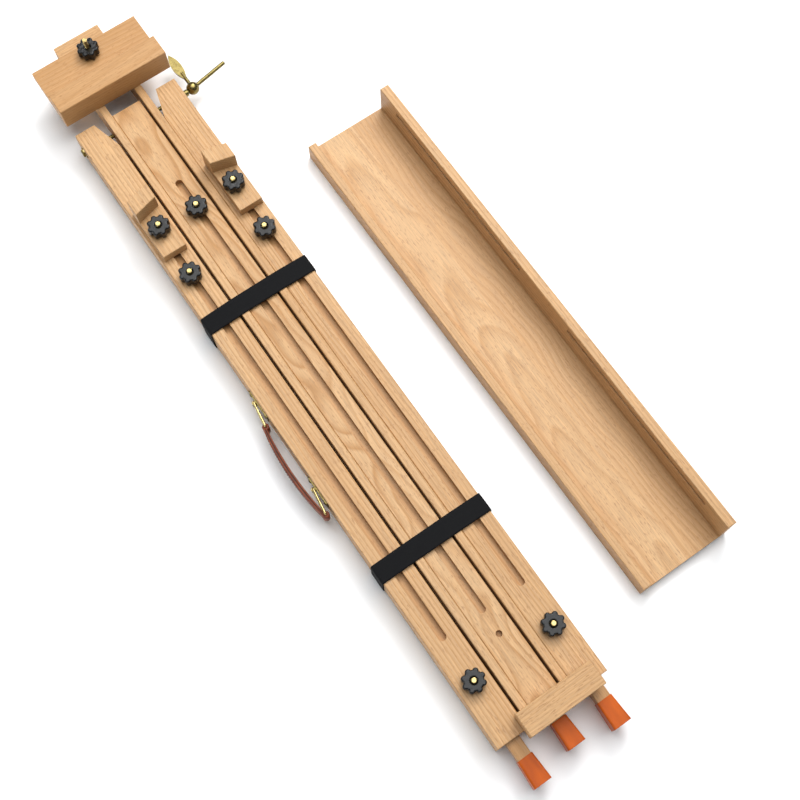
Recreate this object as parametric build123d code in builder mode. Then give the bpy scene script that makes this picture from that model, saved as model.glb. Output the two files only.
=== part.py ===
from build123d import *
import os

os.makedirs("parts", exist_ok=True)

# Folded tripod field easel with its loose tray, all sizes in millimetres.
# X runs across the bundle, Y runs from the feet to the head, Z is up.
# The origin is on the underside of the upper strap, on the centre line.

# legs
leg_w = 40.0
leg_x = 53.5  # centre line of each front leg
leg_z0 = 2.0
leg_z1 = 43.0
leg_seam_z = 14.6  # channel above, back board below
leg_foot_y = -592.0
front_top_y = 318.0
rear_top_y = 316.0
knee_y = 275.0
taper_in = 12.5
knee_r = 5.0  # the leg rolls on this corner as it splays

# sliding groove and clamp slot of each leg
groove_w = 18.0
groove_z1 = 35.5
groove_top_y = 199.0
slot_w = 9.5
slot_y0 = -465.0
slot_y1 = 189.0

# pivot
pivot_y = 302.0
pivot_z = 24.0
bolt_r = 2.6
bolt_x0 = -76.0
bolt_x1 = 92.0
nut_x0 = -77.2
ball_x = 89.3
ball_y = 303.5
ball_r = 8.4
rod_reach = (54.0, 9.7)  # from the ball to the end of the cranked rod
paddle_y0 = 319.0
paddle_y1 = 364.0

# studs and star knobs
stud_r = 3.0
knob_h = 13.0
knob_r = 11.0
lobe_r = 3.4
lobe_count = 8
knob_gap = 0.4
recess_r = 4.6
recess_h = 4.0
upper_stud_y = 67.5
lower_stud_y = -519.0
rear_stud_y = 140.0
rear_hole_y = -493.0
rear_hole_r = 3.8
rest_stud_y = 136.0
stud_top = 17.0  # above the face the knob presses on

# lower bars and feet
bar_w = 17.0
bar_z0 = 15.2
bar_z1 = 35.1
foot_len = 33.0
foot_socket = 15.0
foot_top_w = 19.4
foot_base_w = 22.6
foot_taller = 3.2
foot_corner_r = 2.6

# mast
rail_w = 10.0
left_rail_x = -30.4
right_rail_x = 23.0
rail_z0 = 9.0
rail_z1 = 46.0
rail_y0 = -598.0
rail_y1 = 426.0
tie_x0 = -33.0
tie_x1 = 32.5
tie_y1 = 444.0
rail_slot_y0 = -459.0
rail_slot_y1 = 309.0
crossbar_x0 = -39.0
crossbar_x1 = 60.0
crossbar_y0 = -602.0
crossbar_y1 = -572.5
crossbar_h = 24.0

# head clamp
mast_cx = 1.3
clamp_z0 = 46.2
plate_z1 = 60.0
plate_x0 = -75.2
plate_x1 = 75.8
plate_y0 = 362.4
plate_y1 = 417.3
lip_w = 153.0
lip_y0 = 332.0
lip_z1 = 79.7
head_stud_y = 401.2
head_stud_z1 = 88.0
shoe_z0 = 2.6
shoe_z1 = 8.8

# canvas rests
rest_cx = {"left": -54.0, "right": 56.0}
rest_z0 = 43.3
rest_z1 = 56.0
rest_w = 31.5
rest_y0 = 101.5
rest_lip_y = 161.3  # lip front at the block's middle
rest_lip_depth = 21.8
rest_lip_z1 = 78.6
rest_skew = 4.1  # how far the lip runs back at each side of its middle

# straps
strap_w = 24.4
strap_t = 1.6
strap_y = {"upper": 0.0, "lower": -363.5}

# carrying handle
staple_x = -77.2
staple_y = {"a": -108.0, "b": -236.0}
ring_reach = (-4.8, -34.0)
ring_half_z = 11.0
wire_r = 1.3
handle_z = 24.0

# tray
tray_x0 = 164.5
tray_x1 = 288.5
tray_y0 = -545.5
tray_y1 = 143.5
front_wall_t = 11.0
back_wall_t = 12.0
front_wall_h = 26.5
back_wall_h = 58.2
floor_z0 = 4.0
floor_z1 = 13.7
tray_slot_h = 6.6
tray_slot_z = 45.0
tray_slots = ((-509.8, -250.0), (-155.7, 108.0))


def save(part, label):
    """Label one piece and write it out."""
    part.label = label
    export_step(part, f"parts/{label}.step")


def add_box(x0, x1, y0, y1, z0, z1, mode=Mode.ADD):
    """Box between two corners, for use inside a part block."""
    with Locations(((x0 + x1) / 2, (y0 + y1) / 2, (z0 + z1) / 2)):
        Box(x1 - x0, y1 - y0, z1 - z0, mode=mode)


def upright_hole(x, y, z0, z1, radius):
    """Round hole along Z."""
    with Locations((x, y, (z0 + z1) / 2)):
        Cylinder(radius, z1 - z0, mode=Mode.SUBTRACT)


def upright_slot(x, y0, y1, z0, z1, width):
    """Round-ended slot that runs along Y and is cut along Z."""
    with BuildSketch(Plane.XY.offset(z0)) as outline:
        with Locations((x, (y0 + y1) / 2)):
            SlotOverall(y1 - y0, width, rotation=90)
    extrude(outline.sketch, amount=z1 - z0, mode=Mode.SUBTRACT)


def cut_knee(side, z0, z1):
    """Taper the inner corner of a front leg so that it can splay."""
    inner = side * (leg_x - leg_w / 2)
    with BuildSketch(Plane.XY.offset(z0)) as wedge:
        Polygon(
            (inner, knee_y - 20),
            (inner, knee_y),
            (inner + side * taper_in, front_top_y),
            (inner + side * taper_in, front_top_y + 5),
            (inner - side * 5, front_top_y + 5),
            (inner - side * 5, knee_y - 20),
            align=None,
        )
        fillet(wedge.vertices().sort_by_distance((inner, knee_y, z0))[0], knee_r)
    extrude(wedge.sketch, amount=z1 - z0, mode=Mode.SUBTRACT)


def cut_flared_hole(side):
    """Bolt hole of a front leg, flared outward in the splay plane."""
    inner = side * (leg_x - leg_w / 2 - 2)
    outer = side * (leg_x + leg_w / 2 + 2)
    with BuildSketch(Plane.XY.offset(pivot_z - bolt_r - 0.2)) as flare:
        Polygon(
            (inner, pivot_y + 7),
            (inner, pivot_y - 5),
            (outer, pivot_y - 17),
            (outer, pivot_y + 4),
            align=None,
        )
    extrude(flare.sketch, amount=2 * bolt_r + 0.4, mode=Mode.SUBTRACT)


def leg_channel(cx, side, top_y):
    """Milled leg: front face, two side walls, groove open at the back."""
    with BuildPart() as leg:
        add_box(cx - leg_w / 2, cx + leg_w / 2, leg_foot_y, top_y, leg_seam_z, leg_z1)
        chamfer(leg.faces().sort_by(Axis.Z)[-1].edges(), 0.8)
        add_box(
            cx - groove_w / 2,
            cx + groove_w / 2,
            leg_foot_y - 1,
            groove_top_y,
            leg_seam_z - 1,
            groove_z1,
            Mode.SUBTRACT,
        )
        upright_slot(cx, slot_y0, slot_y1, groove_z1 - 1, leg_z1 + 1, slot_w)
        if side:
            upright_hole(cx, lower_stud_y, groove_z1 - 1, leg_z1 + 1, stud_r)
            cut_knee(side, leg_seam_z - 1, leg_z1 + 1)
            cut_flared_hole(side)
        else:
            upright_hole(cx, rear_hole_y, groove_z1 - 1, leg_z1 + 1, rear_hole_r)
            with Locations(Location((cx, pivot_y, pivot_z), (0, 90, 0))):
                Cylinder(bolt_r + 0.05, leg_w + 4, mode=Mode.SUBTRACT)
    return leg.part


def leg_back(cx, side, top_y):
    """Board that closes the groove of a leg."""
    with BuildPart() as board:
        add_box(cx - leg_w / 2, cx + leg_w / 2, leg_foot_y, top_y, leg_z0, leg_seam_z)
        if side:
            cut_knee(side, leg_z0 - 1, leg_seam_z + 1)
    return board.part


def headed_stud(x, y, z0, z1, head_h, head_r=6.5):
    """Carriage stud along Z with its head at the bottom."""
    with BuildPart() as stud:
        with Locations((x, y, (z0 + z1) / 2)):
            Cylinder(stud_r, z1 - z0)
        with Locations((x, y, z0 + head_h / 2)):
            Cylinder(head_r, head_h)
        chamfer(stud.faces().sort_by(Axis.Z)[-1].edges(), 0.6)
    return stud.part


def plain_stud(x, y, z0, z1):
    """Threaded stud along Z, sunk in the wood below."""
    with BuildPart() as stud:
        with Locations((x, y, (z0 + z1) / 2)):
            Cylinder(stud_r, z1 - z0)
        chamfer(stud.faces().sort_by(Axis.Z)[-1].edges(), 0.6)
    return stud.part


def star_knob(x, y, z0):
    """Eight-lobed clamp knob with a through bore for its stud."""
    with BuildPart() as knob:
        with Locations((x, y, z0 + 1.5)):
            Cylinder(9.0, 3.0)
        with BuildSketch(Plane.XY.offset(z0 + 3.0)):
            with Locations((x, y)):
                Circle(knob_r + 0.6)
                with PolarLocations(knob_r - 0.2, lobe_count):
                    Circle(lobe_r)
        extrude(amount=knob_h - 3.0)
        chamfer(knob.faces().sort_by(Axis.Z)[-1].edges(), 1.0)
        upright_hole(x, y, z0 - 1, z0 + knob_h + 1, stud_r + 0.05)
        upright_hole(x, y, z0 + knob_h - recess_h, z0 + knob_h + 1, recess_r)
    return knob.part


def lower_bar(cx, y0, y1, stud_y):
    """Square sliding bar with the hole for its upper stud."""
    with BuildPart() as bar:
        add_box(cx - bar_w / 2, cx + bar_w / 2, y0, y1, bar_z0, bar_z1)
        chamfer(bar.edges().filter_by(Axis.Y), 0.7)
        upright_hole(cx, stud_y, bar_z0 - 1, bar_z1 + 1, stud_r)
    return bar.part


def rubber_foot(cx, y_top):
    """Tapered square ferrule with a socket for the bar."""
    with BuildPart() as foot:
        for y, width in ((y_top, foot_top_w), (y_top - foot_len, foot_base_w)):
            middle = (cx, y, (bar_z0 + bar_z1) / 2)
            with BuildSketch(Plane(origin=middle, x_dir=(1, 0, 0), z_dir=(0, -1, 0))):
                RectangleRounded(width, width + foot_taller, foot_corner_r)
        loft()
        add_box(
            cx - bar_w / 2,
            cx + bar_w / 2,
            y_top - foot_socket,
            y_top + 1,
            bar_z0,
            bar_z1,
            Mode.SUBTRACT,
        )
    return foot.part


def rest_block(side_name):
    """Foot of a canvas rest, keyed into the leg's slot."""
    cx = rest_cx[side_name]
    side = 1 if cx > 0 else -1
    stud_x = side * leg_x
    half = rest_w / 2
    back = rest_lip_y + rest_lip_depth
    with BuildPart() as block:
        with BuildSketch(Plane.XY.offset(rest_z0)):
            Polygon(
                (cx - half, rest_y0),
                (cx + half, rest_y0),
                (cx + half, back - side * rest_skew),
                (cx - half, back + side * rest_skew),
                align=None,
            )
        extrude(amount=rest_z1 - rest_z0)
        chamfer(block.faces().sort_by(Axis.Z)[-1].edges(), 0.6)
        add_box(stud_x - 4.5, stud_x + 4.5, rest_stud_y - 14, rest_stud_y + 14, 36.0, rest_z0 + 1)
        upright_hole(stud_x, rest_stud_y, 35.0, rest_z1 + 1, stud_r)
    return block.part


def rest_lip(side_name):
    """Raised lip of a canvas rest, angled to come level when the leg splays."""
    cx = rest_cx[side_name]
    side = 1 if cx > 0 else -1
    half = rest_w / 2
    back = rest_lip_y + rest_lip_depth
    with BuildPart() as lip:
        with BuildSketch(Plane.XY.offset(rest_z1)):
            Polygon(
                (cx - half, rest_lip_y + side * rest_skew),
                (cx + half, rest_lip_y - side * rest_skew),
                (cx + half, back - side * rest_skew),
                (cx - half, back + side * rest_skew),
                align=None,
            )
        extrude(amount=rest_lip_z1 - rest_z1)
        chamfer(lip.faces().sort_by(Axis.Z)[-1].edges(), 0.8)
    return lip.part


def mast_rail(x0):
    """Side rail of the mast with the long slot for the pivot bolt."""
    with BuildPart() as rail:
        add_box(x0, x0 + rail_w, rail_y0, rail_y1, rail_z0, rail_z1)
        chamfer(rail.edges().filter_by(Axis.Y), 0.8)
        with BuildSketch(Plane.YZ.offset(x0 - 1)):
            with Locations(((rail_slot_y0 + rail_slot_y1) / 2, pivot_z)):
                SlotOverall(rail_slot_y1 - rail_slot_y0, 2 * bolt_r + 0.6)
        extrude(amount=rail_w + 2, mode=Mode.SUBTRACT)
    return rail.part


def strap_outline(grow):
    """Corner points of the strap loop, in X and Z."""
    half = 73.9
    low = 1.7
    return [
        (-half - grow, low - grow * low / strap_t),
        (half + grow, low - grow * low / strap_t),
        (half + grow, 43.4 + grow),
        (right_rail_x + rail_w + 1.0, rail_z1 + 0.4 + grow),
        (left_rail_x - 1.0, rail_z1 + 0.4 + grow),
        (-half - grow, 43.4 + grow),
    ]


def web_strap(y):
    """Flat webbing loop around the whole bundle."""
    with BuildPart() as strap:
        with BuildSketch(Plane.XZ.offset(-y - strap_w / 2)):
            Polygon(*strap_outline(strap_t), align=None)
            Polygon(*strap_outline(0.0), align=None, mode=Mode.SUBTRACT)
        extrude(amount=strap_w)
    return strap.part


def handle_plate(y):
    """Brass plate with a barrel that carries one wire ring."""
    with BuildPart() as plate:
        with BuildSketch(Plane.YZ.offset(-75.0)):
            with Locations((y - 5, handle_z)):
                RectangleRounded(44.0, 14.0, 4.0)
        extrude(amount=1.5)
        with Locations((staple_x, y, handle_z)):
            Cylinder(2.6, 9.0)
            Cylinder(wire_r + 0.08, 12.0, mode=Mode.SUBTRACT)
    return plate.part


def wire_ring(y):
    """Rectangular wire ring between a plate barrel and the leather."""
    x0 = staple_x
    x1 = x0 + ring_reach[0]
    y1 = y + ring_reach[1]
    low = handle_z - ring_half_z
    high = handle_z + ring_half_z
    with BuildPart() as ring:
        with BuildLine():
            corners = ((x0, y, low), (x0, y, high), (x1, y1, high), (x1, y1, low))
            path = FilletPolyline(*corners, radius=2.0, close=True)
        with BuildSketch(Plane(origin=path @ 0, z_dir=path % 0)):
            Circle(wire_r)
        sweep(path=path)
    return ring.part


# pivot hardware
with BuildPart() as clamp_bolt:
    with Locations(Location(((bolt_x0 + bolt_x1) / 2, pivot_y, pivot_z), (0, 90, 0))):
        Cylinder(bolt_r, bolt_x1 - bolt_x0)
    chamfer(clamp_bolt.faces().sort_by(Axis.X)[-1].edges(), 0.6)
save(clamp_bolt.part, "clamp_bolt")

for label, x0 in (("left_washer", -74.8), ("right_washer", 73.6)):
    with BuildPart() as washer:
        with BuildSketch(Plane.YZ.offset(x0)):
            with Locations((pivot_y, pivot_z)):
                Circle(7.5)
                Circle(bolt_r, mode=Mode.SUBTRACT)
        extrude(amount=1.2)
    save(washer.part, label)

with BuildPart() as cap_nut:
    with BuildSketch(Plane.YZ.offset(nut_x0)):
        with Locations((pivot_y, pivot_z)):
            RegularPolygon(5.6, 6)
    extrude(amount=-74.8 - nut_x0)
    chamfer(cap_nut.faces().sort_by(Axis.X)[0].edges(), 0.8)
    with BuildSketch(Plane.YZ.offset(bolt_x0)):
        with Locations((pivot_y, pivot_z)):
            Circle(bolt_r)
    extrude(amount=5, mode=Mode.SUBTRACT)
save(cap_nut.part, "cap_nut")

with BuildPart() as boss:
    with BuildSketch(Plane.YZ.offset(74.8)):
        with Locations((pivot_y, pivot_z)):
            Circle(4.4)
            Circle(bolt_r, mode=Mode.SUBTRACT)
    extrude(amount=5.7)
save(boss.part, "boss")

# ball nut with its leaf-shaped paddle and cranked rod, one casting
with BuildPart() as lever:
    with Locations((ball_x, ball_y, pivot_z)):
        Sphere(ball_r, rotation=(0, 90, 0))
    with BuildSketch(Plane.XZ.offset(-ball_y - 4)):
        with Locations((ball_x, pivot_z)):
            Circle(2.4)
    extrude(amount=-24)
    with BuildSketch(Plane.XY.offset(pivot_z - 1.6)):
        with BuildLine():
            widest_y = (paddle_y0 + paddle_y1) / 2
            ThreePointArc((ball_x, paddle_y0), (ball_x + 5.7, widest_y), (ball_x - 1, paddle_y1))
            ThreePointArc((ball_x - 1, paddle_y1), (ball_x - 7.3, widest_y), (ball_x, paddle_y0))
        make_face()
    extrude(amount=3.2)
    with BuildSketch(Plane(origin=(ball_x, ball_y, pivot_z), z_dir=(*rod_reach, 0))):
        Circle(2.6)
    extrude(amount=Vector(*rod_reach, 0).length)
    chamfer(lever.faces().sort_by(Axis.X)[-1].edges(), 0.6)
    with Locations(Location((86.5, pivot_y, pivot_z), (0, 90, 0))):
        Cylinder(bolt_r + 0.05, 13.0, mode=Mode.SUBTRACT)
save(lever.part, "lever")

for label in ("upper", "lower"):
    save(web_strap(strap_y[label]), f"strap_{label}")

# mast
save(mast_rail(left_rail_x), "left_rail")
save(mast_rail(right_rail_x), "right_rail")

with BuildPart() as tie_block:
    add_box(tie_x0, tie_x1, rail_y1, tie_y1, rail_z0, rail_z1)
    chamfer(tie_block.faces().sort_by(Axis.Y)[-1].edges(), 0.8)
save(tie_block.part, "tie_block")

with BuildPart() as crossbar:
    add_box(crossbar_x0, crossbar_x1, crossbar_y0, crossbar_y1, rail_z1, rail_z1 + crossbar_h)
    chamfer(crossbar.edges(), 0.8)
save(crossbar.part, "crossbar")

# head clamp
with BuildPart() as head_plate:
    add_box(plate_x0, plate_x1, plate_y0, plate_y1, clamp_z0, plate_z1)
    chamfer(head_plate.faces().sort_by(Axis.Y)[-1].edges(), 0.8)
    upright_hole(mast_cx, head_stud_y, clamp_z0 - 1, plate_z1 + 1, stud_r)
save(head_plate.part, "head_plate")

with BuildPart() as head_lip:
    add_box(mast_cx - lip_w / 2, mast_cx + lip_w / 2, lip_y0, plate_y0, clamp_z0, lip_z1)
    chamfer(head_lip.edges(), 0.8)
save(head_lip.part, "head_lip")

with BuildPart() as head_shoe:
    add_box(mast_cx - 27, mast_cx + 27, head_stud_y - 14, head_stud_y + 14, shoe_z0, shoe_z1)
    upright_hole(mast_cx, head_stud_y, shoe_z0 - 1, shoe_z1 + 1, stud_r)
save(head_shoe.part, "head_shoe")

save(plain_stud(mast_cx, head_stud_y, shoe_z0, head_stud_z1), "head_stud")
save(star_knob(mast_cx, head_stud_y, plate_z1 + knob_gap), "head_knob")

# legs, lower bars, feet, studs and knobs
knob_z = leg_z1 + knob_gap
stud_z1 = leg_z1 + stud_top
for name, side in (("left", -1), ("right", 1)):
    cx = side * leg_x
    save(leg_channel(cx, side, front_top_y), f"{name}_leg_channel")
    save(leg_back(cx, side, front_top_y), f"{name}_leg_back")
    save(plain_stud(cx, lower_stud_y, bar_z1 + 0.1, stud_z1), f"{name}_lower_stud")
    save(star_knob(cx, lower_stud_y, knob_z), f"{name}_lower_knob")
    save(lower_bar(cx, -629.0, 107.0, upper_stud_y), f"{name}_bar")
    save(rubber_foot(cx, -614.0), f"{name}_foot")
    save(plain_stud(cx, upper_stud_y, bar_z0 + 2, stud_z1), f"{name}_upper_stud")
    save(star_knob(cx, upper_stud_y, knob_z), f"{name}_upper_knob")
    save(rest_block(name), f"{name}_rest_block")
    save(rest_lip(name), f"{name}_rest_lip")
    save(headed_stud(cx, rest_stud_y, 30.0, rest_z1 + stud_top, 4.5), f"{name}_rest_stud")
    save(star_knob(cx, rest_stud_y, rest_z1 + knob_gap), f"{name}_rest_knob")

save(leg_channel(0.0, 0, rear_top_y), "rear_leg_channel")
save(leg_back(0.0, 0, rear_top_y), "rear_leg_back")
save(lower_bar(0.0, -618.0, 196.0, rear_stud_y), "rear_bar")
save(rubber_foot(0.0, -603.0), "rear_foot")
save(plain_stud(0.0, rear_stud_y, bar_z0 + 2, stud_z1), "rear_stud")
save(star_knob(0.0, rear_stud_y, knob_z), "rear_knob")

# carrying handle
for label in ("a", "b"):
    save(handle_plate(staple_y[label]), f"handle_plate_{label}")
    save(wire_ring(staple_y[label]), f"handle_ring_{label}")

with BuildPart() as handle_grip:
    end_x = staple_x + ring_reach[0]
    top = (end_x, staple_y["a"] + ring_reach[1])
    low = (end_x, staple_y["b"] + ring_reach[1])
    with BuildSketch(Plane.XY.offset(handle_z - 9.0)):
        with BuildLine():
            outer_mid = ((-91.2, -165), (-92.0, -206), (-91.2, -240))
            inner_mid = ((-85.6, -165), (-86.2, -206), (-85.6, -240))
            outer = Spline((top[0] - 3, top[1]), *outer_mid, (low[0] - 3, low[1]))
            inner = Spline((top[0] + 1, top[1]), *inner_mid, (low[0] + 1, low[1]))
            Line(outer @ 0, inner @ 0)
            Line(outer @ 1, inner @ 1)
        make_face()
        with Locations(top, low):
            Circle(4.6)
            Circle(wire_r + 0.08, mode=Mode.SUBTRACT)
    extrude(amount=18.0)
save(handle_grip.part, "handle_grip")

# tray
with BuildPart() as tray_floor:
    add_box(tray_x0 + front_wall_t, tray_x1 - back_wall_t, tray_y0, tray_y1, floor_z0, floor_z1)
save(tray_floor.part, "tray_floor")

with BuildPart() as tray_front:
    add_box(tray_x0, tray_x0 + front_wall_t, tray_y0, tray_y1, 0, front_wall_h)
    chamfer(tray_front.faces().sort_by(Axis.Z)[-1].edges(), 0.8)
save(tray_front.part, "tray_front")

with BuildPart() as tray_back:
    add_box(tray_x1 - back_wall_t, tray_x1, tray_y0, tray_y1, 0, back_wall_h)
    chamfer(tray_back.faces().sort_by(Axis.Z)[-1].edges(), 0.8)
    for y0, y1 in tray_slots:
        with BuildSketch(Plane.YZ.offset(tray_x1 - back_wall_t - 1)):
            with Locations(((y0 + y1) / 2, tray_slot_z)):
                SlotOverall(y1 - y0, tray_slot_h)
        extrude(amount=back_wall_t + 2, mode=Mode.SUBTRACT)
save(tray_back.part, "tray_back")
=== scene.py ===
import math

import bmesh
import bpy
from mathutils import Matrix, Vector


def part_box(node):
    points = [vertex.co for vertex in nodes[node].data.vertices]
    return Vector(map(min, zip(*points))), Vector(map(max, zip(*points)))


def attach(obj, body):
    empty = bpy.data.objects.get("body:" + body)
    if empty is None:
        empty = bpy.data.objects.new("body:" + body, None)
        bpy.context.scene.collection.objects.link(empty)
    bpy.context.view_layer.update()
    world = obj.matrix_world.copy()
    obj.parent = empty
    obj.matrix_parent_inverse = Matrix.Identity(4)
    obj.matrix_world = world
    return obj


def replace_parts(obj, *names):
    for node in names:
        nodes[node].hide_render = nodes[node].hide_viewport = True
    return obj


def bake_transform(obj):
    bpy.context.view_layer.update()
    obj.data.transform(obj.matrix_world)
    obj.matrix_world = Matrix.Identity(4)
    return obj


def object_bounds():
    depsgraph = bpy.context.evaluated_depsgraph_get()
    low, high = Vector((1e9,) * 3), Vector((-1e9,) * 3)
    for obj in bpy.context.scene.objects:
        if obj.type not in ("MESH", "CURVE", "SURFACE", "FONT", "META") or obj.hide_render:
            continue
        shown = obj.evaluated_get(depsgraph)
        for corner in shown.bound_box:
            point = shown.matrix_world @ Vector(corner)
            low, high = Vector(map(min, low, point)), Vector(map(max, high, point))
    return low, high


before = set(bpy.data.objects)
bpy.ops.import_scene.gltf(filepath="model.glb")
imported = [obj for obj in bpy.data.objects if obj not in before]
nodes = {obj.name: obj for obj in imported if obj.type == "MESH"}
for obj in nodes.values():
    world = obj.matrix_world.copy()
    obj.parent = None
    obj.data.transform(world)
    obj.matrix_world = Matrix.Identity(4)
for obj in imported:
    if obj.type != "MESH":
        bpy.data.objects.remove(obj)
cad_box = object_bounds()

MM = 0.001

# camera: almost overhead, turned so that the long side runs from top left to bottom right
CAMERA_AT = Vector((-0.1746, -0.5877, 1.3951))
CAMERA_AIM = Vector((0.07195, -0.19584, 0.0))
CAMERA_UP = Vector((0.54276, 0.77872, 0.31465))
CAMERA_LENS = 54.74
CAMERA_SENSOR = 36.0
CAMERA_NEAR = 0.01

# colours, linear
BEECH_LIGHT = (0.60, 0.375, 0.185, 1.0)
BEECH_DARK = (0.40, 0.19, 0.056, 1.0)
BEECH_DEEP = (0.24, 0.105, 0.038, 1.0)
BRASS = (0.62, 0.50, 0.22, 1.0)
BRASS_AGED = (0.36, 0.27, 0.10, 1.0)
BRASS_OLD = (0.23, 0.18, 0.065, 1.0)
BRASS_OLD_DARK = (0.10, 0.075, 0.025, 1.0)
KNOB = (0.003, 0.003, 0.0033, 1.0)
KNOB_WORN = (0.02, 0.02, 0.021, 1.0)
RUBBER = (0.54, 0.098, 0.001, 1.0)
RUBBER_DEEP = (0.30, 0.045, 0.001, 1.0)
LEATHER = (0.25, 0.056, 0.018, 1.0)
LEATHER_DARK = (0.07, 0.016, 0.009, 1.0)
# near black: painted shade in the grip's open seams, and the dark of the stitch thread
SEAM_SHADE_AND_THREAD = (0.03, 0.010, 0.006, 1.0)
WEB = (0.003, 0.003, 0.0035, 1.0)
# grey black of the webbing's painted highlight on the yarn crests, and of its paler fuzz
WEB_HIGHLIGHT_AND_FUZZ = (0.011, 0.011, 0.012, 1.0)
SKY = (0.78, 0.90, 1.0, 1.0)

SKY_STRENGTH = 0.18
FLOOR_SIZE = 6.0

# name, place, aim, size and power of each area light
LIGHTS = (
    ("key", (1.6, 1.2, 2.4), (0.05, -0.1, 0), 1.2, 34),
    ("top", (1.0, 0.7, 3.6), (0.05, -0.1, 0), 4.8, 225),
    ("fill", (-2.6, -0.3, 0.45), (0, -0.1, 0.03), 1.2, 17),
)


# ---------------------------------------------------------------- node helpers
class Shader:
    """A new material and short ways to add nodes to it."""

    def __init__(self, name):
        self.material = bpy.data.materials.new(name)
        self.material.use_nodes = True
        self.tree = self.material.node_tree
        self.bsdf = self.tree.nodes["Principled BSDF"]

    def add(self, kind, settings=None, **inputs):
        node = self.tree.nodes.new("ShaderNode" + kind)
        for attribute, value in (settings or {}).items():
            setattr(node, attribute, value)
        for key, value in inputs.items():
            self.feed(node.inputs[key.replace("_", " ")], value)
        return node

    def feed(self, socket, value):
        if isinstance(value, bpy.types.NodeSocket):
            self.tree.links.new(value, socket)
        else:
            socket.default_value = value

    def place(self, vector, scale=(1, 1, 1), turn=(0, 0, 0), shift=(0, 0, 0)):
        node = self.add("Mapping", Vector=vector, Scale=scale, Rotation=turn, Location=shift)
        return node.outputs["Vector"]

    def noise(self, vector, scale=1.0, detail=3.0, roughness=0.55):
        node = self.add("TexNoise", Vector=vector, Scale=scale, Detail=detail, Roughness=roughness)
        return node.outputs["Fac"]

    def ramp(self, value, *stops):
        node = self.add("ValToRGB", Fac=value)
        band = node.color_ramp
        while len(band.elements) < len(stops):
            band.elements.new(0.5)
        for element, (at, level) in zip(band.elements, stops):
            element.position = at
            element.color = (level, level, level, 1.0)
        return node.outputs["Color"]

    def mix(self, amount, first, second, blend="MIX"):
        node = self.add("MixRGB", {"blend_type": blend}, Fac=amount, Color1=first, Color2=second)
        return node.outputs["Color"]

    def math(self, operation, first, second=0.0):
        node = self.add("Math", {"operation": operation})
        self.feed(node.inputs[0], first)
        self.feed(node.inputs[1], second)
        return node.outputs["Value"]

    def vectors(self, operation, first, second):
        node = self.add("VectorMath", {"operation": operation})
        self.feed(node.inputs[0], first)
        self.feed(node.inputs[1], second)
        return node

    def scaled(self, vector, scale):
        node = self.add("VectorMath", {"operation": "SCALE"}, Vector=vector, Scale=scale)
        return node.outputs["Vector"]

    def bump(self, height, strength, distance, normal=None):
        node = self.add("Bump", Height=height, Strength=strength, Distance=distance)
        if normal is not None:
            self.feed(node.inputs["Normal"], normal)
        return node.outputs["Normal"]

    def surface(self, **inputs):
        for key, value in inputs.items():
            self.feed(self.bsdf.inputs[key.replace("_", " ")], value)
        return self.material


# ---------------------------------------------------------------- materials
RING_WAVE = 0.3142  # the ring wave repeats every 2 pi / 20 of a unit at scale 1
STRIP_JUMP = 0.14  # how far apart in the log two neighbouring strips were cut, in metres
STRIP_SHADE = 0.42
BOARD_EDGE = 0.7 * MM


def glued_strips(s, where, width):
    """Cut the board across X into strips from different places in the log, each with a tone."""
    across = s.add("SeparateXYZ", Vector=where).outputs["X"]
    index = s.math("FLOOR", s.math("MULTIPLY", across, 1 / width))
    chance = s.add("TexWhiteNoise", {"noise_dimensions": "1D"}, W=index)
    offset = s.scaled(chance.outputs["Color"], STRIP_JUMP)
    return s.vectors("ADD", where, offset).outputs["Vector"], chance.outputs["Value"]


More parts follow.
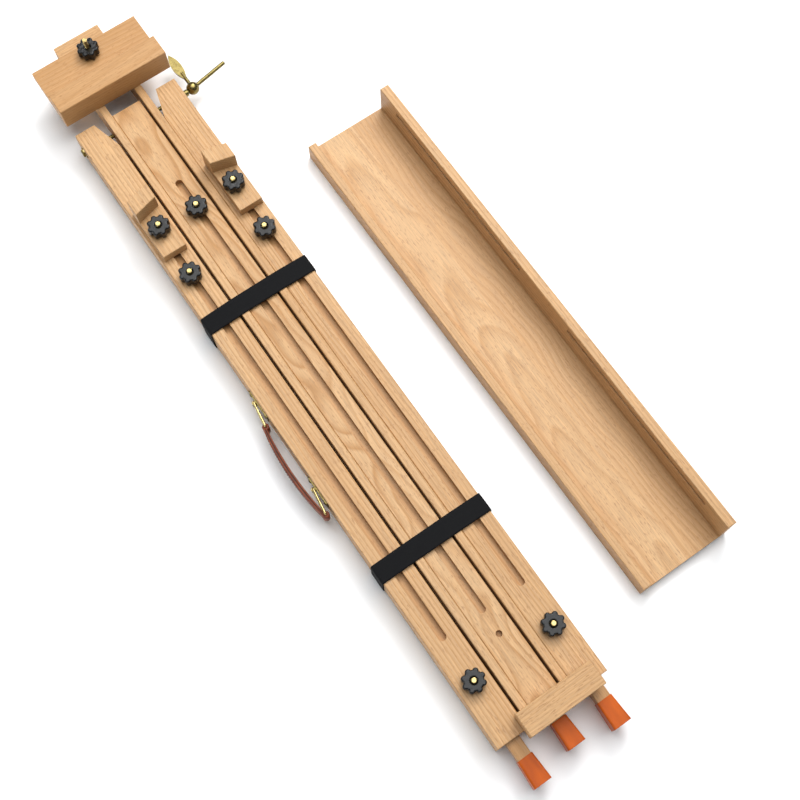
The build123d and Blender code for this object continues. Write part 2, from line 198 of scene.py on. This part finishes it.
def beech(name, grain, shift, tilt, ring_gap, rings, tone, warp, strip=0.0):
    """Oiled beech: growth rings, fine fibres, short dark flecks, and edges painted paler as a
    highlight.

    grain is the board's long axis, ring_gap is in millimetres, and strip is the width of
    glued strips in metres, or 0 for a board in one piece.
    """
    s = Shader(name)
    where = s.add("TexCoord").outputs["Object"]
    if grain == "X":
        where = s.place(where, turn=(0, 0, math.pi / 2))
    strip_tone = None
    if strip:
        where, strip_tone = glued_strips(s, where, strip)
    board = s.place(where, turn=(tilt, 0, 0), shift=shift)
    bend = s.add("TexNoise", Vector=s.place(board, scale=(7, 3.4, 7)), Scale=1.0, Detail=2.0)
    bend = s.vectors("SUBTRACT", bend.outputs["Color"], (0.5, 0.5, 0.5))
    bent = s.vectors("ADD", board, s.scaled(bend.outputs["Vector"], warp))
    wave = s.add(
        "TexWave",
        {"wave_type": "RINGS", "rings_direction": "Y", "wave_profile": "SAW"},
        Vector=bent.outputs["Vector"],
        Scale=RING_WAVE / (ring_gap * MM),
        Distortion=0.5,
        Detail=2.0,
        Detail_Scale=0.4,
    )
    ring = s.ramp(wave.outputs["Fac"], (0.0, 0.0), (0.45, 0.2), (0.85, 1.0), (1.0, 0.1))
    patchy = s.ramp(s.noise(s.place(board, scale=(24, 3.0, 24))), (0.35, 0.45), (0.65, 1.0))
    ring = s.mix(1.0, ring, patchy, "MULTIPLY")
    colour = s.mix(s.math("MULTIPLY", ring, rings), BEECH_LIGHT, BEECH_DARK)
    fibre = s.noise(s.place(board, scale=(760, 20, 760)), detail=4.0, roughness=0.62)
    colour = s.mix(1.0, colour, s.ramp(fibre, (0.3, 0.72), (0.7, 1.18)), "MULTIPLY")
    fleck = s.noise(s.place(board, scale=(820, 130, 820)), detail=1.0)
    fleck = s.ramp(fleck, (0.60, 0.0), (0.70, 0.62))
    colour = s.mix(fleck, colour, BEECH_DEEP)
    cloud = s.noise(s.place(board, scale=(16, 2.2, 16)), detail=2.0)
    colour = s.mix(s.ramp(cloud, (0.3, 0.0), (0.75, 0.42)), colour, BEECH_DARK)
    if strip_tone is not None:
        colour = s.mix(s.math("MULTIPLY", strip_tone, STRIP_SHADE), colour, BEECH_DARK)
    if tone:
        colour = s.mix(abs(tone), colour, BEECH_DARK if tone > 0 else BEECH_LIGHT)
    rounded = s.add("Bevel", {"samples": 4}, Radius=BOARD_EDGE).outputs["Normal"]
    flat = s.add("NewGeometry").outputs["Normal"]
    meet = s.vectors("DOT_PRODUCT", rounded, flat)
    # Painted highlight: where the bevelled normal turns away from the face, the edges are painted
    # paler towards BEECH_LIGHT.
    edge = s.ramp(meet.outputs["Value"], (0.90, 0.35), (0.995, 0.0))
    colour = s.mix(edge, colour, BEECH_LIGHT)
    height = s.mix(0.4, fibre, ring)
    normal = s.bump(height, 0.22, 0.15 * MM, rounded)
    roughness = s.ramp(fibre, (0.3, 0.42), (0.7, 0.56))
    return s.surface(Base_Color=colour, Roughness=roughness, Normal=normal, Specular_IOR_Level=0.35)


def brass(name, bright, aged, pitch=0.0):
    """Brass, a little tarnished; pitch in millimetres gives a screw thread around Z."""
    s = Shader(name)
    where = s.add("TexCoord").outputs["Object"]
    tarnish = s.ramp(s.noise(where, scale=160.0, detail=4.0), (0.42, 0.0), (0.72, 0.7))
    colour = s.mix(tarnish, bright, aged)
    scratch = s.noise(s.place(where, scale=(900, 900, 160)), detail=2.0)
    normal = s.bump(scratch, 0.12, 0.05 * MM)
    if pitch:
        height = s.add("SeparateXYZ", Vector=where).outputs["Z"]
        turn = s.math("SINE", s.math("MULTIPLY", height, 2 * math.pi / (pitch * MM)))
        normal = s.bump(turn, 0.55, 0.3 * MM, normal)
        colour = s.mix(s.ramp(turn, (0.0, 0.55), (0.6, 0.0)), colour, aged)
    roughness = s.ramp(scratch, (0.3, 0.2), (0.7, 0.36))
    return s.surface(Base_Color=colour, Metallic=1.0, Roughness=roughness, Normal=normal)


def knob_plastic(name):
    s = Shader(name)
    where = s.add("TexCoord").outputs["Object"]
    grain = s.noise(where, scale=1500.0, detail=3.0)
    wear = s.ramp(s.noise(where, scale=120.0, detail=5.0), (0.5, 0.0), (0.75, 0.5))
    colour = s.mix(wear, KNOB, KNOB_WORN)
    rounded = s.add("Bevel", {"samples": 8}, Radius=2.0 * MM).outputs["Normal"]
    uneven = s.noise(where, scale=190.0, detail=1.0)
    normal = s.bump(uneven, 0.6, 0.9 * MM, rounded)
    normal = s.bump(grain, 0.12, 0.06 * MM, normal)
    roughness = s.ramp(grain, (0.3, 0.18), (0.7, 0.32))
    return s.surface(Base_Color=colour, Roughness=roughness, Normal=normal, Specular_IOR_Level=0.3)


def foot_rubber(name):
    s = Shader(name)
    where = s.add("TexCoord").outputs["Object"]
    swirl = s.ramp(s.noise(s.place(where, scale=(60, 14, 60)), detail=4.0), (0.35, 0.0), (0.7, 0.8))
    colour = s.mix(swirl, RUBBER, RUBBER_DEEP)
    grain = s.noise(where, scale=1200.0, detail=3.0)
    rounded = s.add("Bevel", {"samples": 4}, Radius=1.0 * MM).outputs["Normal"]
    normal = s.bump(grain, 0.1, 0.08 * MM, rounded)
    roughness = s.ramp(grain, (0.3, 0.3), (0.7, 0.42))
    return s.surface(Base_Color=colour, Roughness=roughness, Normal=normal, Specular_IOR_Level=0.14)


def leather(name, light, dark):
    s = Shader(name)
    where = s.add("TexCoord").outputs["Object"]
    patches = s.noise(s.place(where, scale=(160, 60, 160)), detail=5.0)
    colour = s.mix(s.ramp(patches, (0.35, 0.0), (0.7, 0.85)), light, dark)
    pore = s.add("TexVoronoi", Vector=where, Scale=900.0).outputs["Distance"]
    crease = s.noise(where, scale=420.0, detail=5.0, roughness=0.6)
    colour = s.mix(s.ramp(pore, (0.0, 0.5), (0.4, 0.0)), colour, dark)
    normal = s.bump(s.mix(0.5, pore, crease), 0.5, 0.2 * MM)
    roughness = s.ramp(crease, (0.3, 0.34), (0.7, 0.55))
    return s.surface(Base_Color=colour, Roughness=roughness, Normal=normal, Specular_IOR_Level=0.25)


YARN_ALONG = 1.9 * MM
YARN_ACROSS = 1.5 * MM


def webbing(name):
    """Black woven webbing: two crossing sets of yarns, from the strap's UV map in metres."""
    s = Shader(name)
    uv = s.add("SeparateXYZ", Vector=s.add("TexCoord").outputs["UV"])
    along = s.math("MULTIPLY", uv.outputs["X"], 2 * math.pi / YARN_ALONG)
    across = s.math("MULTIPLY", uv.outputs["Y"], 2 * math.pi / YARN_ACROSS)
    warp = s.math("SINE", s.math("ADD", along, across))
    weft = s.math("SINE", s.math("SUBTRACT", along, across))
    yarn = s.math("MULTIPLY", s.math("ADD", s.math("MAXIMUM", warp, weft), 1.0), 0.5)
    fuzz = s.noise(s.add("TexCoord").outputs["Object"], scale=1800.0, detail=4.0)
    # Painted highlight and shade: the yarn crests are painted lighter and the hollows between the
    # yarns darker.
    colour = s.mix(s.ramp(yarn, (0.45, 0.0), (1.0, 0.75)), WEB, WEB_HIGHLIGHT_AND_FUZZ)
    colour = s.mix(s.ramp(fuzz, (0.5, 0.0), (0.8, 0.5)), colour, WEB_HIGHLIGHT_AND_FUZZ)
    normal = s.bump(yarn, 0.7, 0.3 * MM)
    normal = s.bump(fuzz, 0.3, 0.1 * MM, normal)
    roughness = s.ramp(fuzz, (0.3, 0.62), (0.7, 0.85))
    return s.surface(Base_Color=colour, Roughness=roughness, Normal=normal, Specular_IOR_Level=0.12)


def paper_floor(name):
    s = Shader(name)
    where = s.add("TexCoord").outputs["Object"]
    tone = s.ramp(s.noise(where, scale=2.0), (0.3, 0.93), (0.7, 0.94))
    return s.surface(Base_Color=tone, Roughness=0.9, Specular_IOR_Level=0.1)


# ---------------------------------------------------------------- mesh helpers
def add_object(name, data):
    thing = bpy.data.objects.new(name, data)
    bpy.context.scene.collection.objects.link(thing)
    return thing


def add_mesh(name, bm):
    """An object made from bm, which is freed."""
    mesh = bpy.data.meshes.new(name)
    bm.to_mesh(mesh)
    bm.free()
    return add_object(name, mesh)


def new_piece(name, bm, materials, body):
    """A smooth piece that rides on body; body is None for a piece that is left without a body."""
    bmesh.ops.recalc_face_normals(bm, faces=bm.faces)
    piece = add_mesh(name, bm)
    for material in materials:
        piece.data.materials.append(material)
    for polygon in piece.data.polygons:
        polygon.use_smooth = True
    if body:
        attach(piece, body)
    return piece


def skin_rows(bm, rows):
    """Faces between rows of points, each a closed loop, and a sharp-edged cap at each end."""
    loops = [[bm.verts.new(point) for point in row] for row in rows]
    count = len(loops[0])
    faces = []
    for near, far in zip(loops, loops[1:]):
        for i in range(count):
            j = (i + 1) % count
            faces.append(bm.faces.new((near[i], near[j], far[j], far[i])))
    for cap in (bm.faces.new(loops[0]), bm.faces.new(list(reversed(loops[-1])))):
        for edge in cap.edges:
            edge.smooth = False
    return faces


CORNER_STEPS = 6
CORNER_SHARE = 0.45  # the most of a side that one rounded corner may take


def rounded_path(corners, radius, step):
    """A path through corners in the XZ plane, with filleted corners, at about even steps."""
    points = [corners[0]]
    for before, corner, after in zip(corners, corners[1:], corners[2:]):
        room = CORNER_SHARE * min((before - corner).length, (after - corner).length)
        back = (before - corner).normalized()
        ahead = (after - corner).normalized()
        reach = min(radius / math.tan(back.angle(ahead) / 2), room)
        first, last = corner + back * reach, corner + ahead * reach
        for i in range(CORNER_STEPS + 1):
            t = i / CORNER_STEPS
            points.append(first * (1 - t) ** 2 + corner * 2 * t * (1 - t) + last * t * t)
    points.append(corners[-1])
    dense = []
    for a, b in zip(points, points[1:]):
        parts = max(1, round((b - a).length / step))
        dense += [a.lerp(b, i / parts) for i in range(parts)]
    dense.append(points[-1])
    return dense


# ---------------------------------------------------------------- webbing straps
STRAP_THICK = 1.6 * MM
STRAP_FOLD = 2.6 * MM
STRAP_STEP = 1.5 * MM
STRAP_COLUMNS = 14
STRAP_SHOULDER = 43.4 * MM  # height at which the webbing turns down over the outer edge
RAIL_GAP = 1 * MM
RIPPLE = 0.06 * MM
RIPPLE_RATE = 190  # radians per metre along the strap
RIPPLE_SKEW = 2.4
SELVEDGE_LOSS = 0.3  # share of the thickness lost at the very edge
FACE_SHARE = 0.47  # share of the thickness on each side of the middle
SINK = 0.05 * MM

# across the bundle, from its middle: where each half of the webbing ends and its short run under
# the rear leg begins
STRAP_SPLIT = 27 * MM


def strap_ribbon(name, corners, y0, y1, material):
    """A thin strip of webbing along corners, with rounded selvedges and a slightly uneven face."""
    path = rounded_path(corners, STRAP_FOLD, STRAP_STEP)
    bm = bmesh.new()
    uv_layer = bm.loops.layers.uv.new("weave")
    rows = []
    travel = [0.0]
    for a, b in zip(path, path[1:]):
        travel.append(travel[-1] + (b - a).length)
    side = Vector((0, 1, 0))
    for i, point in enumerate(path):
        ahead = path[min(i + 1, len(path) - 1)] - path[max(i - 1, 0)]
        out = side.cross(ahead).normalized()
        outer, inner = [], []
        for c in range(STRAP_COLUMNS + 1):
            v = 2 * c / STRAP_COLUMNS - 1
            swell = FACE_SHARE * (1 - SELVEDGE_LOSS * abs(v) ** 6)
            ripple = RIPPLE * math.sin(travel[i] * RIPPLE_RATE + RIPPLE_SKEW * v) * (1 - v * v)
            at = Vector((point.x, (y0 + y1) / 2 + v * (y1 - y0) / 2, point.z))
            outer.append(at + out * (STRAP_THICK * (0.5 + swell) + ripple - SINK))
            inner.append(at + out * STRAP_THICK * (0.5 - swell))
        rows.append(outer + inner[::-1])
    skin_rows(bm, rows)
    bm.verts.ensure_lookup_table()
    around = 2 * (STRAP_COLUMNS + 1)
    places = {vert: (travel[n // around], vert.co.y) for n, vert in enumerate(bm.verts)}
    for face in bm.faces:
        for loop in face.loops:
            loop[uv_layer].uv = places[loop.vert]
    return new_piece(name, bm, [material], None)


def make_strap(label, material):
    """One strap: two halves that follow the front legs and two short runs under the rear leg."""
    node = f"strap_{label}"
    low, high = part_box(node)
    left_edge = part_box("left_rail")[0].x - RAIL_GAP
    right_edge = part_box("right_rail")[1].x + RAIL_GAP
    top = high.z - STRAP_THICK
    bottom = low.z + STRAP_THICK
    for name, side, edge in (("left", -1, left_edge), ("right", 1, right_edge)):
        wall = side * (high.x - STRAP_THICK)
        over = [(0, top), (edge, top), (wall, STRAP_SHOULDER)]
        down = [(wall, bottom), (side * STRAP_SPLIT, bottom)]
        corners = [Vector((x, 0, z)) for x, z in over + down]
        if side > 0:
            corners.reverse()
        half = strap_ribbon(f"{node}_{name}", corners, low.y, high.y, material)
        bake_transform(half)
        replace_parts(half, node)
        under = [Vector((side * STRAP_SPLIT, 0, bottom)), Vector((0, 0, bottom))]
        if side > 0:
            under.reverse()
        run = strap_ribbon(f"{node}_under_{name}", under, low.y, high.y, material)
        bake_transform(run)
        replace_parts(run, node)


# ---------------------------------------------------------------- leather handle
RING_WIRE = 1.3 * MM
GRIP_EYE = 4.6 * MM
GRIP_STEPS = 64
GRIP_BOW_X = -89.0 * MM
GRIP_OFFSET = 1.2 * MM  # from the wire's middle out to where the bow starts
GRIP_CURVE = 0.72
GRIP_HALF = 2.1 * MM  # half of the thickness at the eyes
GRIP_SWELL = 0.75 * MM  # how much more it is in the middle
GRIP_PINCH = 0.5 * MM  # how much each edge narrows in the middle
SLOPE_STEP = 0.004
# upper outer quarter of the leather's section: part of the half thickness, inset in mm
GRIP_QUARTER = ((0.0, 1.5), (0.22, 0.2), (0.62, 0.0), (0.95, 0.9), (1.0, 3.2))
GRIP_WAIST = 0.93
GRIP_SEAM = (0, 9, 10, 19)  # faces of the section that lie in the open seams

EYE_INSET = 0.3 * MM
EYE_BORE = 1.35 * MM
EYE_SIDES = 28

STITCHES = 30
STITCH_RADIUS = 0.35 * MM
STITCH_INSET = 3.2 * MM
STITCH_START = 14 * MM
STITCH_PITCH = 3.6 * MM
STITCH_BOW = 6.9 * MM
STITCH_WIDE = 0.9
STITCH_LONG = 3.2


def grip_arch(t):
    """How far the bow stands out, from 0 to 1, at the part t of the way between its eyes."""
    return math.sin(math.pi * min(max(t, 0), 1)) ** GRIP_CURVE


def grip_section(bottom, top):
    """Points around the folded leather: part of the half thickness, and height."""
    upper = [(u, top - inset * MM) for u, inset in GRIP_QUARTER]
    lower = [(u, bottom + inset * MM) for u, inset in reversed(GRIP_QUARTER)]
    outer = upper + [(GRIP_WAIST, (top + bottom) / 2)] + lower
    return outer + [(-u, z) for u, z in reversed(outer[1:-1])]


def make_grip(skin, seam):
    """Folded leather bow with an open seam along both edges, painted near black as shade, and a
    rolled eye at each end.
    """
    low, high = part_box("handle_grip")
    ring_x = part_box("handle_ring_a")[0].x + RING_WIRE
    bottom, top = low.z, high.z
    middle = (top + bottom) / 2
    eye_y = (high.y - GRIP_EYE, low.y + GRIP_EYE)
    span = eye_y[0] - eye_y[1]
    reach = GRIP_BOW_X - ring_x + GRIP_OFFSET
    section = grip_section(bottom, top)
    bm = bmesh.new()
    rows = []
    for i in range(GRIP_STEPS + 1):
        t = i / GRIP_STEPS
        x = ring_x - GRIP_OFFSET + reach * grip_arch(t)
        y = eye_y[0] - t * span
        slope = 0.0
        if 0 < i < GRIP_STEPS:
            rise = grip_arch(t + SLOPE_STEP) - grip_arch(t - SLOPE_STEP)
            slope = reach * rise / (2 * SLOPE_STEP * -span)
        out = Vector((-1, slope, 0)).normalized()
        thick = GRIP_HALF + GRIP_SWELL * grip_arch(t)
        drop = GRIP_PINCH * math.sin(math.pi * t) ** 2
        row = []
        for u, z in section:
            pinched = z - drop if z > middle else z + drop
            row.append(Vector((x, y, pinched)) + out * u * thick)
        rows.append(row)
    # The faces in the open seams take the second material, which is painted near black as shade in
    # the seams.
    for n, face in enumerate(skin_rows(bm, rows)):
        if n % len(section) in GRIP_SEAM:
            face.material_index = 1
    for y in eye_y:
        add_eye(bm, ring_x, y, bottom + EYE_INSET, top - EYE_INSET)
    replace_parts(new_piece("grip_leather", bm, [skin, seam], "grip"), "handle_grip")


def add_eye(bm, x, y, z0, z1):
    """A rolled leather eye around the wire."""
    inner, outer = EYE_BORE, GRIP_EYE - EYE_INSET
    lower = ((inner, 0.4), (inner + 0.5 * MM, 0.0), (outer - 0.7 * MM, 0.0), (outer, 0.8))
    profile = [(r, z0 + lift * MM) for r, lift in lower]
    profile += [(r, z1 - lift * MM) for r, lift in reversed(lower)]
    rings = []
    for i in range(EYE_SIDES):
        angle = 2 * math.pi * i / EYE_SIDES
        c, s = math.cos(angle), math.sin(angle)
        rings.append([bm.verts.new((x + r * c, y + r * s, z)) for r, z in profile])
    for near, far in zip(rings, rings[1:] + rings[:1]):
        for i in range(len(profile)):
            j = (i + 1) % len(profile)
            bm.faces.new((near[i], near[j], far[j], far[i]))


def make_stitches(thread):
    """Short thread stitches along the outer face of the handle, near both edges."""
    low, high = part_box("handle_grip")
    span = high.y - low.y - 2 * GRIP_EYE
    bm = bmesh.new()
    for z in (low.z + STITCH_INSET, high.z - STITCH_INSET):
        for i in range(STITCHES):
            y = high.y - STITCH_START - i * STITCH_PITCH
            t = (high.y - GRIP_EYE - y) / span
            x = low.x + STITCH_RADIUS + (1 - grip_arch(t)) * STITCH_BOW
            made = bmesh.ops.create_uvsphere(bm, u_segments=8, v_segments=6, radius=STITCH_RADIUS)
            for vert in made["verts"]:
                ball = vert.co
                vert.co = (ball.x * STITCH_WIDE + x, ball.y * STITCH_LONG + y, ball.z + z)
    new_piece("grip_stitches", bm, [thread], "grip")


# ---------------------------------------------------------------- screws
SCREW_RADIUS = 2.6 * MM
SCREW_INSET = 6 * MM  # from the ends of the handle plate
SCREW_SIDES = 32
# section of the domed head: part of the radius, height in mm
SCREW_DOME = ((1.0, -0.2), (1.0, 0.15), (0.86, 0.75), (0.55, 1.1), (0.2, 1.22))
DRIVE_WIDTH = 0.7 * MM
DRIVE_DEPTH = 1.6 * MM
DRIVE_HEIGHT = 1.4 * MM
PLATE_SINK = 0.2 * MM


def screw_head(name, at, out, radius, material, body):
    """A domed slotted screw head on a face; out is the direction it faces."""
    bm = bmesh.new()
    rows = []
    for share, height in SCREW_DOME:
        around = [2 * math.pi * i / SCREW_SIDES for i in range(SCREW_SIDES)]
        r = share * radius
        rows.append([Vector((r * math.cos(a), r * math.sin(a), height * MM)) for a in around])
    skin_rows(bm, rows)
    bmesh.ops.recalc_face_normals(bm, faces=bm.faces)
    head = add_mesh(name, bm)
    bm = bmesh.new()
    bmesh.ops.create_cube(bm, size=1.0)
    for vert in bm.verts:
        x, y, z = vert.co
        vert.co = Vector((x * 3 * radius, y * DRIVE_WIDTH, z * DRIVE_DEPTH + DRIVE_HEIGHT))
    cutter = add_mesh(name + "_slot", bm)
    boolean = head.modifiers.new("slot", "BOOLEAN")
    boolean.object = cutter
    boolean.operation = "DIFFERENCE"
    bpy.context.view_layer.update()
    evaluated = head.evaluated_get(bpy.context.evaluated_depsgraph_get())
    cut = bpy.data.meshes.new_from_object(evaluated)
    head.modifiers.clear()
    head.data = cut
    bpy.data.objects.remove(cutter)
    cut.transform(Vector((0, 0, 1)).rotation_difference(out).to_matrix().to_4x4())
    for vert in cut.vertices:
        vert.co = vert.co + at
    cut.materials.clear()
    cut.materials.append(material)
    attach(head, body)


def make_screws(material):
    """Two screws in each handle plate, facing out from the side of the left leg."""
    face_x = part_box("left_washer")[0].x - PLATE_SINK
    for label in ("a", "b"):
        low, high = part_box(f"handle_plate_{label}")
        for end, y in (("near", low.y + SCREW_INSET), ("far", high.y - SCREW_INSET)):
            name = f"handle_screw_{label}_{end}"
            at = Vector((face_x, y, (low.z + high.z) / 2))
            screw_head(name, at, Vector((-1, 0, 0)), SCREW_RADIUS, material, "left_leg")


# ---------------------------------------------------------------- finishes for the CAD nodes
def paint(name, material):
    for slot in nodes[name].material_slots:
        slot.link = "OBJECT"
        slot.material = material


# grain axis, place in the log, tilt of the log's axis, ring gap in mm, ring strength,
# tone (above 0 is darker), warp of the rings
BOARDS = {
    "left_leg_channel": ("Y", (-0.10, 0.3, -0.040), 0.004, 5.0, 1.1, -0.10, 0.010),
    "right_leg_channel": ("Y", (0.06, 1.7, -0.020), 0.012, 4.6, 0.95, 0.0, 0.018),
    "rear_leg_channel": ("Y", (0.002, 2.9, 0.010), 0.030, 4.2, 1.3, -0.10, 0.085),
    "left_leg_back": ("Y", (0.10, 3.1, 0.03), 0.006, 4.2, 0.8, 0.1, 0.010),
    "right_leg_back": ("Y", (-0.01, 4.1, 0.05), 0.012, 4.2, 0.8, 0.1, 0.020),
    "rear_leg_back": ("Y", (0.05, 5.1, 0.04), 0.010, 4.2, 0.8, 0.1, 0.010),
    "left_rail": ("Y", (0.07, 6.3, 0.01), 0.006, 3.6, 0.7, -0.1, 0.010),
    "right_rail": ("Y", (-0.06, 7.7, 0.00), 0.008, 3.8, 0.7, 0.1, 0.010),
    "left_bar": ("Y", (0.09, 8.2, 0.04), 0.008, 4.0, 0.9, 0.5, 0.010),
    "right_bar": ("Y", (0.00, 9.2, 0.05), 0.008, 4.0, 0.9, 0.5, 0.010),
    "rear_bar": ("Y", (0.03, 10.4, 0.07), 0.008, 4.0, 0.9, 0.4, 0.010),
    "tie_block": ("X", (0.05, 11.2, 0.05), 0.02, 3.6, 0.7, 0.1, 0.010),
    "crossbar": ("X", (0.60, 12.4, 0.02), 0.05, 4.0, 0.7, 0.18, 0.015),
    "head_plate": ("X", (0.30, 13.7, 0.03), 0.03, 4.6, 0.7, 0.55, 0.012),
    "head_lip": ("X", (0.38, 14.9, 0.05), 0.03, 4.6, 0.7, 0.50, 0.012),
    "head_shoe": ("X", (0.44, 15.3, 0.06), 0.02, 4.2, 0.65, 0.1, 0.012),
    "left_rest_block": ("Y", (0.10, 16.2, 0.00), 0.02, 4.2, 0.65, 0.12, 0.010),
    "right_rest_block": ("Y", (0.00, 17.2, 0.01), 0.02, 4.2, 0.65, 0.12, 0.010),
    "left_rest_lip": ("Y", (0.12, 18.1, 0.00), 0.02, 3.8, 0.65, 0.05, 0.010),
    "right_rest_lip": ("Y", (0.02, 19.1, 0.01), 0.02, 3.8, 0.65, 0.05, 0.010),
    "tray_front": ("Y", (0.02, 20.3, 0.00), 0.006, 3.8, 0.6, -0.05, 0.010),
    "tray_back": ("Y", (-0.21, 21.5, 0.01), 0.006, 3.8, 0.7, 0.05, 0.010),
}


TRAY_FLOOR = ("Y", (-0.2, 22.9, 0.03), 0.03, 5.0, 0.9, -0.14, 0.05)
TRAY_STRIP = 0.046


def paint_nodes():
    """Give every CAD node its finish; returns the old brass, which the handle screws share."""
    for name, board in BOARDS.items():
        paint(name, beech("beech_" + name, *board))
    paint("tray_floor", beech("beech_tray_floor", *TRAY_FLOOR, strip=TRAY_STRIP))
    plain = brass("brass_plain", BRASS, BRASS_AGED)
    thread = brass("brass_thread", BRASS, BRASS_AGED, pitch=1.0)
    old = brass("brass_old", BRASS_OLD, BRASS_OLD_DARK)
    old_thread = brass("brass_old_thread", BRASS_OLD, BRASS_OLD_DARK, pitch=1.0)
    black = knob_plastic("knob_black")
    orange = foot_rubber("foot_orange")
    for name in nodes:
        if name.endswith("_knob"):
            paint(name, black)
        elif name.endswith("_foot"):
            paint(name, orange)
        elif name.endswith("_stud"):
            paint(name, thread)
        elif name == "clamp_bolt":
            paint(name, old_thread)
        elif name in ("lever", "boss", "cap_nut") or name.startswith("handle_plate"):
            paint(name, old)
        elif name not in BOARDS and name != "tray_floor":
            paint(name, plain)
    return old


old_brass = paint_nodes()
web = webbing("webbing_black")
for strap_label in ("upper", "lower"):
    make_strap(strap_label, web)
# the seam material is a near-black painted shade for the open seams
make_grip(leather("leather_brown", LEATHER, LEATHER_DARK), leather("leather_seam_shade", SEAM_SHADE_AND_THREAD, SEAM_SHADE_AND_THREAD))
make_stitches(leather("leather_thread", LEATHER_DARK, SEAM_SHADE_AND_THREAD))
make_screws(old_brass)


# ---------------------------------------------------------------- floor, light, camera
def add_floor():
    bm = bmesh.new()
    bmesh.ops.create_grid(bm, x_segments=2, y_segments=2, size=FLOOR_SIZE)
    floor = add_mesh("floor", bm)
    floor.data.materials.append(paper_floor("floor_paper"))
    floor.location = (0, 0, cad_box[0][2])


def add_area(name, at, aim, size, power):
    light = bpy.data.lights.new(name, "AREA")
    light.shape = "DISK"
    light.size = size
    light.energy = power
    lamp = add_object(name, light)
    lamp.location = at
    lamp.rotation_euler = (Vector(aim) - Vector(at)).to_track_quat("-Z", "Y").to_euler()


def add_camera():
    camera = bpy.data.cameras.new("camera")
    camera.lens = CAMERA_LENS
    camera.sensor_width = CAMERA_SENSOR
    camera.dof.use_dof = False
    camera.clip_start = CAMERA_NEAR
    eye = add_object("camera", camera)
    back = (CAMERA_AT - CAMERA_AIM).normalized()
    right = CAMERA_UP.cross(back).normalized()
    up = back.cross(right)
    matrix = eye.matrix_world.copy()
    for column, axis in enumerate((right, up, back, CAMERA_AT)):
        for row in range(3):
            matrix[row][column] = axis[row]
    eye.matrix_world = matrix
    bpy.context.scene.camera = eye


def add_world():
    world = bpy.data.worlds.new("studio")
    world.use_nodes = True
    background = world.node_tree.nodes["Background"]
    background.inputs["Color"].default_value = SKY
    background.inputs["Strength"].default_value = SKY_STRENGTH
    bpy.context.scene.world = world


add_floor()
for light_row in LIGHTS:
    add_area(*light_row)
add_world()
add_camera()
bpy.context.scene.view_settings.view_transform = "Standard"
